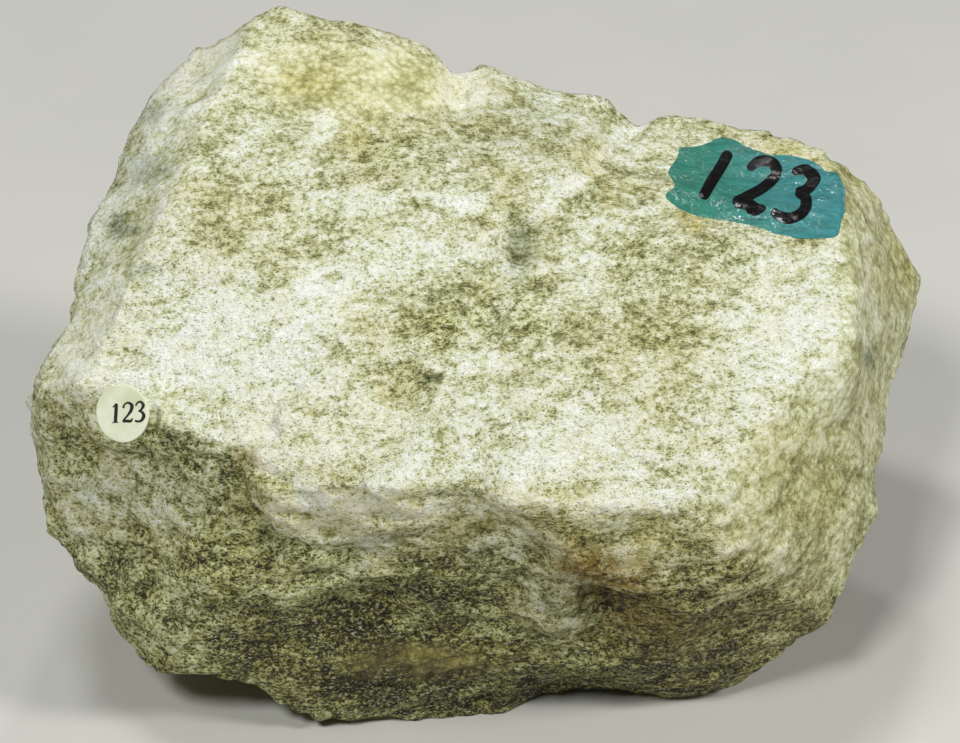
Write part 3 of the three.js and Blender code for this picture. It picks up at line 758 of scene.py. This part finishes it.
def makeSoapstone():
    # tone = base + frost (with painted light) + crumbs + dark patches and painted shade + painted shade in
    # the gaps between crumbs + patches + grains + blotches; dark specks crowd where the tone is low, pale
    # flecks lie between them, and stains go over both; surfaces with little frost are coarser, their
    # grains, darker specks and flecks standing in partly for painted shadows and glints of crystals
    look = soapstone
    material, tree, shader, place = newMaterial("soapstone")
    turned = Matrix(leafAxes().tolist()).to_euler("XYZ")
    leaf = node(tree, "Mapping", {"Vector": place, "Rotation": turned}).outputs[0]

    def vertexNumber(name):
        return node(tree, "Attribute", attribute_name=name).outputs["Fac"]

    def calmedByWax(left, full=1.0):
        # 1 where there is no wax, left where it is full
        return stepped(tree, wax, 0.0, full, 1.0, left)

    wax = vertexNumber("wax")
    frostAndLight = vertexNumber("frostAndLight")
    coarse = times(tree, stepped(tree, frostAndLight, *look["coarseFrost"], 1.0, 0.0), calmedByWax(0.1, 0.7))
    patch = noise(tree, leaf, look["patchSize"], 6.0, 0.7, look["patchStretch"])
    grain = noise(tree, leaf, look["grainSize"], 3.0, 0.62, look["speckStretch"], (4, 8, 2))
    blotch = noise(tree, place, look["blotchSize"], 3.0, 0.6)
    speck = noise(tree, leaf, look["speckSize"], 2.0, 0.6, look["speckStretch"])
    fleck = noise(tree, leaf, look["fleckSize"], 2.0, 0.6, look["speckStretch"], (7, 3, 5))
    cells = {"Vector": leaf, "Scale": 1000 / look["crumbSize"], "Randomness": 1.0}
    crumbs = node(tree, "TexVoronoi", cells, feature="F1").outputs["Distance"]
    # tone rises with frost, and so with its painted light
    tone = addOn(tree, look["tone"], frostAndLight, look["frostAndLightGain"])
    tone = addOn(tree, tone, vertexNumber("crumb"), look["crumbGain"])
    # dark patches and painted shade lower the tone
    tone = addOn(tree, tone, vertexNumber("darkAndShade"), look["darkAndShadeGain"])
    # painted shade in the gaps between crumbs: darker away from each crumb's middle
    tone = addOn(tree, tone, crumbs, look["gapShadeGain"], 0.42)
    uneven = 0.0
    for name, layer in (("blotchGain", blotch), ("patchGain", patch), ("grainGain", grain)):
        gains = look[name]
        level = maths(tree, "SUBTRACT", layer, 0.5)
        gain = addOn(tree, gains[0], coarse, gains[1] - gains[0])
        uneven = maths(tree, "MULTIPLY_ADD", level, gain, uneven)
    tone = maths(tree, "MULTIPLY_ADD", uneven, calmedByWax(0.22), tone)
    colour = ramp(tree, tone, look["tones"])
    colour = blendColour(tree, coarse, colour, linear(look["coarseColour"]), "MULTIPLY")
    crowd = addOn(tree, speck, tone, -look["speckByTone"], look["evenTone"])
    specks = times(tree, stepped(tree, crowd, *look["speckLevel"]), calmedByWax(0.3))
    darkness = blendColour(tree, coarse, linear(look["speckColour"]), linear(look["coarseSpeckAndShadowColour"]))
    colour = blendColour(tree, specks, colour, darkness, "MULTIPLY")
    flecks = times(tree, stepped(tree, fleck, *look["fleckLevel"]), calmedByWax(0.5))
    few, many = look["fleckShare"]
    brightness = times(tree, flecks, addOn(tree, few, coarse, many - few))
    colour = blendColour(tree, brightness, colour, linear(look["fleckAndGlintColour"]))
    ragged = stepped(tree, noise(tree, place, look["raggedSize"], 2.0, 0.6), 0.3, 0.62, 0.45, 1.0)
    for kind in ("ochre", "moss", "rust"):
        share = times(tree, vertexNumber(kind), ragged)
        colour = blendColour(tree, share, colour, linear(look[kind]), "MULTIPLY")

    roughness = stepped(tree, wax, 0.0, 1.0, look["roughness"], look["waxRoughness"])
    roughness = addOn(tree, roughness, fleck, -0.4, 0.5)
    flat = look["frostedDepth"]
    depth = times(tree, calmedByWax(0.25), addOn(tree, flat, coarse, 1 - flat))
    height = 0.0
    for layer, gain in ((patch, 0.6), (grain, 0.8), (speck, -0.4), (crumbs, -0.35)):
        height = addOn(tree, height, layer, gain)
    grains = bumped(tree, height, look["grainDepth"], depth)
    finishShader(tree, shader, colour, roughness, bumped(tree, fleck, look["crystalDepth"], depth, grains))
    return material


block.data.materials.append(makeSoapstone())
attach(block, "root")
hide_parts("stone")
print("soapstone laid on")


# the label: a punched disc of thick glossed paper
def labelAxes():
    # unit vectors along its print, up its print, and outwards; the print rises to the right as it was glued
    out = facing(label["azimuth"], label["elevation"])
    lean = np.radians(label["printRise"])
    along = squareTo(np.cos(lean) * viewRight + np.sin(lean) * viewUp, out)
    return along, np.cross(out, along), out


def onLabel(flat, high):
    # places across and up the label, at a height from the stone's edge below its middle
    along, up, out = labelAxes()
    return label["place"] + flat[..., :1] * along + flat[..., 1:] * up + high[..., None] * out


def labelFace(r):
    # height of the label's pressed-in face at a radius
    dish = label["dish"] * np.cos(r / label["diameter"] * np.pi) ** 2
    return label["gap"] + label["thickness"] - dish


label.update({
    "printRise": 5.0,   # degrees
    "edgeRound": 0.12,   # mm
    "dish": 0.05,   # mm, the middle is pressed in
    "printMiddle": (0.85, 0.1),
    "printHeight": 2.7, "printPitch": 1.8, "printSlant": 0.16, "printThickness": 0.03,
})


def makeLabel():
    # a half profile, from the middle of the back to the rim to the middle of the face, turned round
    half = label["diameter"] / 2
    corner = label["edgeRound"]
    quarter = np.linspace(0, np.pi / 2, 7)
    backR = np.linspace(0, half - corner, 8)
    rimR = half - corner + corner * np.sin(quarter)
    faceR = np.linspace(half - corner, 0, 16)[1:]
    radii = np.concatenate([backR, rimR[1:], rimR[::-1], faceR])
    low, high = label["gap"], label["gap"] + label["thickness"]
    rise = np.concatenate([np.full(8, low), low + corner * (1 - np.cos(quarter[1:])),
                           high - corner * (1 - np.cos(quarter[::-1])), labelFace(faceR)])
    turn = np.linspace(0, 2 * np.pi, 96, endpoint=False)
    r, t = np.meshgrid(radii, turn, indexing="ij")
    ragged = 1 + 0.006 * np.sin(3 * t + 1) + 0.004 * np.sin(7 * t)
    r = np.where(r > half * 0.8, r * ragged, r)
    flat = np.stack([r * np.cos(t), r * np.sin(t)], -1)
    grid = onLabel(flat, np.broadcast_to(rise[:, None], r.shape))
    return makePiece("label_disc", inFrame(closedPlaces(grid)), closedFaces(len(radii), len(turn)))


def smoothPath(points, count):
    # Catmull-Rom curve through listed rows of numbers, each span t^3, t^2, t, 1
    points = np.array(points, float)
    padded = np.concatenate([2 * points[:1] - points[1:2], points, 2 * points[-1:] - points[-2:-1]])
    s = np.linspace(0, len(points) - 1, count)
    k = np.minimum(s.astype(int), len(points) - 2)
    t = (s - k)[:, None]
    a, b, c, d = (padded[k + i] for i in range(4))
    square, cube = 2 * a - 5 * b + 4 * c - d, 3 * b - a - 3 * c + d
    return 0.5 * (2 * b + (c - a) * t + square * t ** 2 + cube * t ** 3)


def strokeGrid(points, count=56, round=14):
    # a flattened bead along a path of places and half widths: a superellipse across, drawn to a point at
    # both ends; returns flat places and the share of the full height, from -1 below to 1 on top
    path = smoothPath(points, count)
    centre, width = path[:, :2], path[:, 2]
    way = unit(np.gradient(centre, axis=0))
    length = np.concatenate([[0], np.cumsum(np.linalg.norm(np.diff(centre, axis=0), axis=1))])
    toEnd = np.minimum(length, length[-1] - length) / np.maximum(width, 1e-6)
    end = np.sqrt(1 - (1 - np.clip(toEnd, 0, 1)) ** 2)
    phi = np.linspace(0, 2 * np.pi, round, endpoint=False)
    side = np.stack([-way[:, 1], way[:, 0]], 1)
    reach = (width * end)[:, None] * np.cos(phi)
    flat = centre[:, None] + side[:, None] * reach[..., None]
    lift = end[:, None] * np.sign(np.sin(phi)) * np.sqrt(abs(np.sin(phi)))
    return flat, lift


# digits as strokes: each point is across, up and half width, for a digit one unit high
printedDigits = {
    "1": [[(-0.2, 0.8, 0.03), (-0.08, 0.9, 0.04), (0, 0.99, 0.05)],
          [(0, 1, 0.1), (0, 0.5, 0.1), (0, 0, 0.1)],
          [(-0.19, 0.02, 0.025), (0, 0.03, 0.03), (0.19, 0.02, 0.025)]],
    "2": [[(-0.27, 0.72, 0.075), (-0.2, 0.9, 0.05), (0, 0.99, 0.055), (0.22, 0.84, 0.1), (0.19, 0.6, 0.095),
           (0.02, 0.36, 0.06), (-0.16, 0.17, 0.05), (-0.27, 0.05, 0.04)],
          [(-0.27, 0.05, 0.06), (0, 0.06, 0.08), (0.21, 0.05, 0.07), (0.3, 0.2, 0.03)]],
    "3": [[(-0.24, 0.8, 0.05), (-0.12, 0.96, 0.05), (0.07, 0.98, 0.065), (0.2, 0.8, 0.095),
           (0.1, 0.6, 0.06), (-0.06, 0.52, 0.04)],
          [(-0.06, 0.52, 0.04), (0.14, 0.47, 0.07), (0.26, 0.28, 0.105), (0.16, 0.06, 0.075),
           (-0.05, 0, 0.055), (-0.24, 0.06, 0.065)]],
}
brushedDigits = {
    "1": [[(0.05, 1.03, 0.112), (0.02, 0.66, 0.115), (-0.03, 0.33, 0.115), (-0.06, -0.03, 0.105)]],
    "2": [[(-0.28, 0.74, 0.075), (-0.14, 0.96, 0.108), (0.12, 0.99, 0.112), (0.28, 0.8, 0.112),
           (0.17, 0.5, 0.108), (-0.08, 0.22, 0.108), (-0.28, 0.03, 0.108)],
          [(-0.27, 0.05, 0.085), (-0.02, 0.09, 0.112), (0.2, 0.04, 0.108), (0.38, 0.08, 0.065)]],
    "3": [[(-0.26, 0.9, 0.075), (-0.04, 1.01, 0.108), (0.2, 0.88, 0.112), (0.17, 0.66, 0.108),
           (-0.04, 0.54, 0.08)],
          [(-0.04, 0.54, 0.085), (0.2, 0.46, 0.112), (0.27, 0.21, 0.112), (0.09, 0.01, 0.112),
           (-0.18, 0.02, 0.09), (-0.3, 0.12, 0.06)]],
}


def digitStrokes(shapes, middle, height, pitch, turn, slant):
    # the strokes of all the digits in a row about a middle, slanted and then turned
    c, s = np.cos(np.radians(turn)), np.sin(np.radians(turn))
    placed = []
    for index, strokes in enumerate(shapes.values()):
        start = (index - (len(shapes) - 1) / 2) * pitch
        for stroke in strokes:
            x, y, w = np.array(stroke).T * height
            y = y - height / 2
            x = x + slant * y + start
            placed.append(np.stack([middle[0] + c * x - s * y, middle[1] + s * x + c * y, w], 1))
    return placed


def joinGrids(name, grids):
    # several closed grids of one size as one piece
    rows, columns = grids[0].shape[:2]
    faces = closedFaces(rows, columns)
    size = (rows - 2) * columns + 2
    allFaces = [[k + size * index for k in face] for index in range(len(grids)) for face in faces]
    return makePiece(name, inFrame(np.concatenate([closedPlaces(grid) for grid in grids])), allFaces)


def makeLabelPrint():
    grids = []
    for stroke in digitStrokes(printedDigits, label["printMiddle"], label["printHeight"],
                               label["printPitch"], 0.0, label["printSlant"]):
        flat, lift = strokeGrid(stroke)
        high = labelFace(np.hypot(flat[..., 0], flat[..., 1])) + lift * label["printThickness"]
        grids.append(onLabel(flat, high))
    return joinGrids("label_print", grids)


paper = {
    "tones": [(0.3, (218, 222, 190)), (0.55, (230, 234, 210)), (0.8, (237, 240, 220))],   # smudged to clean
    "smudgeSize": 3.0, "roughness": (0.38, 0.55),
    "fibreSize": 0.35, "fibreStretch": (3, 1, 1), "fibreColour": (205, 203, 172),
    "fibreDepth": 0.00003,   # m, as every depth of a look
}


def makePaper():
    material, tree, shader, place = newMaterial("label_paper")
    fibre = noise(tree, place, paper["fibreSize"], 3.0, 0.6, paper["fibreStretch"])
    smudge = noise(tree, place, paper["smudgeSize"], 2.0, 0.5)
    colour = ramp(tree, smudge, paper["tones"])
    threads = stepped(tree, fibre, 0.45, 0.75, 0.0, 0.35)
    colour = blendColour(tree, threads, colour, linear(paper["fibreColour"]))
    roughness = stepped(tree, smudge, 0.3, 0.7, *paper["roughness"])
    finishShader(tree, shader, colour, roughness, bumped(tree, fibre, paper["fibreDepth"], 0.6))
    return material


inks = {
    # name: colour, roughness where thick and thin, depth of its swells in m
    "print_black": ((26, 26, 24), (0.5, 0.7), 0.00001),
    "number_ink": ((14, 14, 16), (0.12, 0.24), 0.0001),
}
thinInk = {"colour": (52, 46, 36), "size": 0.7}   # size in mm


def makeInk(name):
    # black with a little brown where it is thin, and a gloss that varies
    colour, gloss, depth = inks[name]
    material, tree, shader, place = newMaterial(name)
    thin = noise(tree, place, thinInk["size"], 3.0, 0.6)
    brown = stepped(tree, thin, 0.5, 0.8, 0.0, 0.6)
    shade = blendColour(tree, brown, linear(colour), linear(thinInk["colour"]))
    finishShader(tree, shader, shade, stepped(tree, thin, 0.3, 0.7, *gloss), bumped(tree, thin, depth, 0.8))
    return material


labelDisc = makeLabel()
labelDisc.data.materials.append(makePaper())
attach(labelDisc, "root")
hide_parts("round_label")
labelPrint = makeLabelPrint()
labelPrint.data.materials.append(makeInk("print_black"))
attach(labelPrint, "root")
print("label made")


# the painted patch and its brushed digits
def makePaintFilm():
    # rings of directions from the patch's middle out to its edge and back below, lifted by a film that
    # thins at the edge: thickness * sqrt(1 - share^10), with its edge and its back a little sunk
    turn = np.linspace(-np.pi, np.pi, 300, endpoint=False)
    corners = np.concatenate([paint["outline"], paint["outline"][:1]]) - paint["middle"]
    reach = outlineReach(smoothPath(corners, 220)[:-1], turn)
    ring = np.stack([np.cos(turn) * 3, np.sin(turn) * 3, np.zeros_like(turn)], 1)
    reach = reach * (1 + paint["ragged"] * swell(ring, 31) + paint["ragged"] * swell(ring * 3.5, 32))
    right, up = paint["middle"]
    edge = onPaintedFacet(right + reach * np.cos(turn), up + reach * np.sin(turn), paint["place"])
    shares = np.concatenate([np.linspace(0, 1, 64) ** 0.8, np.linspace(1, 0, 12)[1:]])
    below = np.arange(len(shares)) >= 64
    start = unit(paint["place"])
    d = unit(start + shares[:, None, None] * (edge - start))
    r = paintedRadius(d.reshape(-1, 3)).reshape(d.shape[:2])
    atEdge = shares ** 10
    film = np.where(below, -paint["back"] * (1 - atEdge), paint["thickness"] * np.sqrt(1 - atEdge))
    grid = d * (r + (film - paint["edgeSunk"] * atEdge)[:, None])[..., None]
    places = inFrame(closedPlaces(grid[:, ::-1]))
    return makePiece("paint_patch", places, closedFaces(len(shares), len(turn)))


number = {
    "middle": (39.9, 27.0), "height": 7.3, "pitch": 6.0,
    "turn": -13.0,   # degrees, the row of digits falls to the right
    "slant": 0.20,
    "thickness": 0.13,
}


def makePaintNumber():
    grids = []
    for stroke in digitStrokes(brushedDigits, number["middle"], number["height"], number["pitch"],
                               number["turn"], number["slant"]):
        flat, lift = strokeGrid(stroke, 60, 24)
        d = onPaintedFacet(flat[..., 0].ravel(), flat[..., 1].ravel(), paint["place"])
        r = paintedRadius(d) + paint["thickness"]
        grids.append((d * (r + lift.ravel() * number["thickness"])[:, None]).reshape(*flat.shape[:2], 3))
    return joinGrids("paint_number", grids)


teal = {
    "left": (60, 132, 114), "right": (72, 140, 146), "deep": (44, 100, 94), "pale": (120, 166, 160),
    "roughness": (0.06, 0.13),
    "brushSize": 1.2, "brushStretch": (2.2, 1, 1),
    "thinSize": 0.9, "thinStretch": (1.5, 1, 1), "thinShift": (3, 1, 2),
    "rippleSize": 0.75, "rippleDepth": (0.00012, 0.00045),
    "wetSize": 3.2, "wetShift": (5, 5, 1),   # places where the ripples are deep
}


def makeTealPaint():
    # greener at the left and bluer at the right, streaked by the brush
    material, tree, shader, place = newMaterial("number_paint")
    across = node(tree, "SeparateXYZ", {"Vector": place}).outputs["X"]
    edges = paint["outline"][:, 0]
    colour = blendColour(tree, stepped(tree, across, (edges.min() + 2) / 1000, (edges.max() - 4) / 1000),
                         linear(teal["left"]), linear(teal["right"]))
    brushed = noise(tree, place, teal["brushSize"], 3.0, 0.6, teal["brushStretch"])
    colour = blendColour(tree, stepped(tree, brushed, 0.35, 0.7, 0.0, 0.6), colour, linear(teal["deep"]))
    thin = noise(tree, place, teal["thinSize"], 3.0, 0.65, teal["thinStretch"], teal["thinShift"])
    colour = blendColour(tree, stepped(tree, thin, 0.62, 0.75, 0.0, 0.6), colour, linear(teal["pale"]))
    ripple = noise(tree, place, teal["rippleSize"], 2.0, 0.6)
    wet = noise(tree, place, teal["wetSize"], 2.0, 0.6, shift=teal["wetShift"])
    bump = bumped(tree, ripple, stepped(tree, wet, 0.42, 0.62, *teal["rippleDepth"]), 1.0)
    finishShader(tree, shader, colour, stepped(tree, brushed, 0.3, 0.7, *teal["roughness"]), bump)
    return material


patch = makePaintFilm()
patch.data.materials.append(makeTealPaint())
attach(patch, "root")
digits = makePaintNumber()
digits.data.materials.append(makeInk("number_ink"))
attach(digits, "root")
print("painted patch and its digits made")


room = {
    "floor": (203, 202, 198), "shade": (192, 192, 189), "shadeSize": 40.0,
    "floorSize": 6.0,   # m
    "worldColour": (1.0, 1.0, 0.98), "worldStrength": 0.035,
    # name: place in m, side in m, power in W, colour
    "lamps": {
        "key": ((-0.20, 0.10, 0.91), 0.20, 2.5, (0.985, 1.0, 0.99)),
        "back": ((0.04, 0.64, 0.76), 0.08, 1.3, (1.0, 1.0, 1.0)),
        "right fill": ((0.74, -0.30, 0.60), 0.22, 5.2, (1.0, 0.985, 0.95)),
        "front fill": ((-0.28, -0.56, 0.80), 0.22, 5.6, (0.99, 1.0, 0.95)),
    },
}


def makeFloor():
    half = room["floorSize"] / 2
    corners = np.array([(-half, -half, 0), (half, -half, 0), (half, half, 0), (-half, half, 0)])
    floor = makePiece("floor", corners, [[0, 1, 2, 3]])
    material, tree, shader, place = newMaterial("floor")
    shade = stepped(tree, noise(tree, place, room["shadeSize"], 2.0, 0.5), 0.3, 0.7, 0.0, 0.25)
    colour = blendColour(tree, shade, linear(room["floor"]), linear(room["shade"]))
    tree.links.new(colour, shader.inputs["Base Color"])
    shader.inputs["Roughness"].default_value = 0.9
    floor.data.materials.append(material)


def makeLamps(aim):
    for name, (place, side, power, colour) in room["lamps"].items():
        data = bpy.data.lights.new(name.replace(" ", "_"), "AREA")
        data.shape = "DISK"
        data.size = side
        data.energy = power
        data.color = colour
        lamp = bpy.data.objects.new(data.name, data)
        lamp.location = Vector(place) + aim
        lamp.rotation_euler = (-Vector(place)).to_track_quat("-Z", "Y").to_euler()
        bpy.context.scene.collection.objects.link(lamp)
    world = bpy.data.worlds.new("room")
    world.use_nodes = True
    background = world.node_tree.nodes["Background"]
    background.inputs["Color"].default_value = (*room["worldColour"], 1)
    background.inputs["Strength"].default_value = room["worldStrength"]
    bpy.context.scene.world = world


def makeCamera(aim):
    data = bpy.data.cameras.new("eye")
    data.sensor_width = view["sensor"]
    data.lens = view["sensor"] * view["distance"] / (view["picture"][0] / view["pixelsPerMm"])
    data.clip_start = 0.01
    camera = bpy.data.objects.new("eye", data)
    camera.location = aim + Vector((viewTowards * view["distance"] / 1000).tolist())
    camera.rotation_euler = (np.radians(90 - view["elevation"]), 0, 0)
    bpy.context.scene.collection.objects.link(camera)
    bpy.context.scene.camera = camera


aim = Vector(stone["middle"]) / 1000
makeFloor()
makeLamps(aim)
makeCamera(aim)
bpy.context.scene.view_settings.view_transform = "Standard"
print("room, lamps and camera set")
